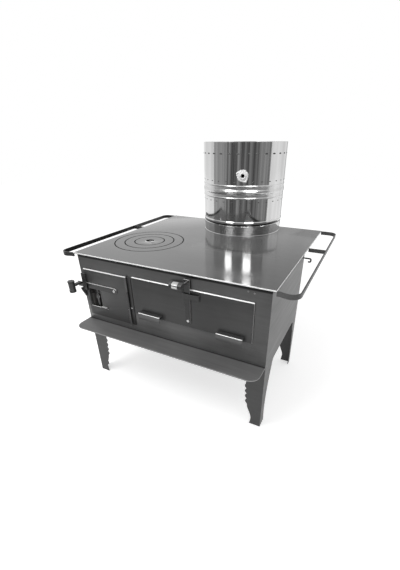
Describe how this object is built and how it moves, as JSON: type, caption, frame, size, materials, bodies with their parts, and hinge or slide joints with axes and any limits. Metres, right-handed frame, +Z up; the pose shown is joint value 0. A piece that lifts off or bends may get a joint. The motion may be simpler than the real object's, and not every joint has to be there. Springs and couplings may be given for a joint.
{
  "type": "wood-burning kitchen stove",
  "caption": "Sheet-steel wood-burning cooking stove on legs: firebox, drop-down oven door, hob with lift-off rings, towel rails and a round water tank around the smoke pipe.",
  "frame": {"origin": "on the floor, under the middle of the stove's outer box", "axes": "+Z up, +Y from the front with its doors to the back with the smoke pipe, +X to the right as seen from the front"},
  "size_m": [1.112, 1.078, 1.1063],
  "materials": {
    "blued_steel": "dark blued cold-rolled sheet with a satin sheen",
    "hotplate_steel": "ground and lightly polished steel plate",
    "black_iron": "black, dull",
    "bright_steel": "bright turned steel",
    "stainless": "mirror-bright stainless sheet",
    "firebrick": "rough fired clay"
  },
  "bodies": {
    "stove": {"back_panel": "blued_steel", "damper_guide_lower": "blued_steel", "damper_guide_upper": "blued_steel", "firebox_hinge_leaf": "blued_steel", "firebox_hinge_pin": "bright_steel", "firebox_latch_catch": "blued_steel", "firebrick_back": "firebrick", "firebrick_left": "firebrick", "firebrick_right": "firebrick", "floor_panel": "blued_steel", "flue_box": "blued_steel", "front_panel": "blued_steel", "front_shelf": "blued_steel", "grate": "black_iron", "hob_support_ring": "blued_steel", "hotplate": "hotplate_steel", "left_rail": "black_iron", "left_side_panel": "blued_steel", "oven_box": "black_iron", "oven_hinge_lug_left": "blued_steel", "oven_hinge_lug_right": "blued_steel", "oven_latch_catch": "blued_steel", "right_rail": "black_iron", "right_side_panel": "blued_steel", "tank_base_plate": "stainless", "tank_flue": "blued_steel", "tank_jacket": "stainless", "tank_lid": "stainless", "tank_outlet_socket": "bright_steel"},
    "firebox_door": {"firebox_door": "blued_steel", "firebox_latch_rivet": "bright_steel", "firebox_latch_guide": "blued_steel", "draught_guide_upper": "blued_steel", "draught_guide_lower": "blued_steel", "draught_grille": "blued_steel"},
    "firebox_latch": {"firebox_latch_bar": "blued_steel", "firebox_handle_rod": "black_iron", "firebox_handle_grip": "bright_steel"},
    "draught_shutter": {"draught_shutter": "blued_steel"},
    "oven_door": {"oven_door": "blued_steel", "oven_latch_rivet": "bright_steel", "oven_latch_guide": "blued_steel", "oven_hinge_hood_left": "blued_steel", "oven_hinge_hood_right": "blued_steel", "oven_hinge_pin_left": "bright_steel", "oven_hinge_pin_right": "bright_steel"},
    "oven_latch": {"oven_latch_bar": "blued_steel", "oven_handle_rod": "black_iron", "oven_handle_grip": "bright_steel"},
    "hob_ring_outer": {"hob_ring_outer": "hotplate_steel"},
    "hob_ring_middle": {"hob_ring_middle": "hotplate_steel"},
    "hob_lid": {"hob_lid": "hotplate_steel"},
    "damper": {"damper_rod": "black_iron", "damper_plate": "blued_steel"},
    "oven_rack": {"oven_rack": "bright_steel"},
    "ash_tray": {"ash_tray": "black_iron"}
  },
  "joints": [
    {"name": "firebox_door_swing", "type": "hinge", "parent": "stove", "child": "firebox_door", "pos_m": [-0.1895, -0.443, 0.364], "axis": [0, 0, 1], "range_deg": [0, 90]},
    {"name": "firebox_latch_lift", "type": "hinge", "parent": "firebox_door", "child": "firebox_latch", "pos_m": [-0.263, -0.4456, 0.519], "axis": [0, 1, 0], "range_deg": [0, 11]},
    {"name": "draught_shutter_slide", "type": "slide", "parent": "firebox_door", "child": "draught_shutter", "axis": [-1, 0, 0], "range_m": [0, 0.066]},
    {"name": "oven_door_drop", "type": "hinge", "parent": "stove", "child": "oven_door", "pos_m": [-0.155, -0.449, 0.429], "axis": [1, 0, 0], "range_deg": [0, 90]},
    {"name": "oven_latch_swing", "type": "hinge", "parent": "oven_door", "child": "oven_latch", "pos_m": [0.122, -0.4456, 0.464], "axis": [0, 1, 0], "range_deg": [0, 16]},
    {"name": "outer_ring_lift", "type": "slide", "parent": "stove", "child": "hob_ring_outer", "axis": [0, 0, 1], "range_m": [0, 0.08]},
    {"name": "middle_ring_lift", "type": "slide", "parent": "hob_ring_outer", "child": "hob_ring_middle", "axis": [0, 0, 1], "range_m": [0, 0.08]},
    {"name": "lid_lift", "type": "slide", "parent": "hob_ring_middle", "child": "hob_lid", "axis": [0, 0, 1], "range_m": [0, 0.08]},
    {"name": "damper_slide", "type": "slide", "parent": "stove", "child": "damper", "axis": [1, 0, 0], "range_m": [0, 0.09]},
    {"name": "oven_rack_slide", "type": "slide", "parent": "stove", "child": "oven_rack", "axis": [0, -1, 0], "range_m": [0, 0.06]},
    {"name": "ash_tray_slide", "type": "slide", "parent": "stove", "child": "ash_tray", "axis": [0, -1, 0], "range_m": [0, 0.045]}
  ]
}
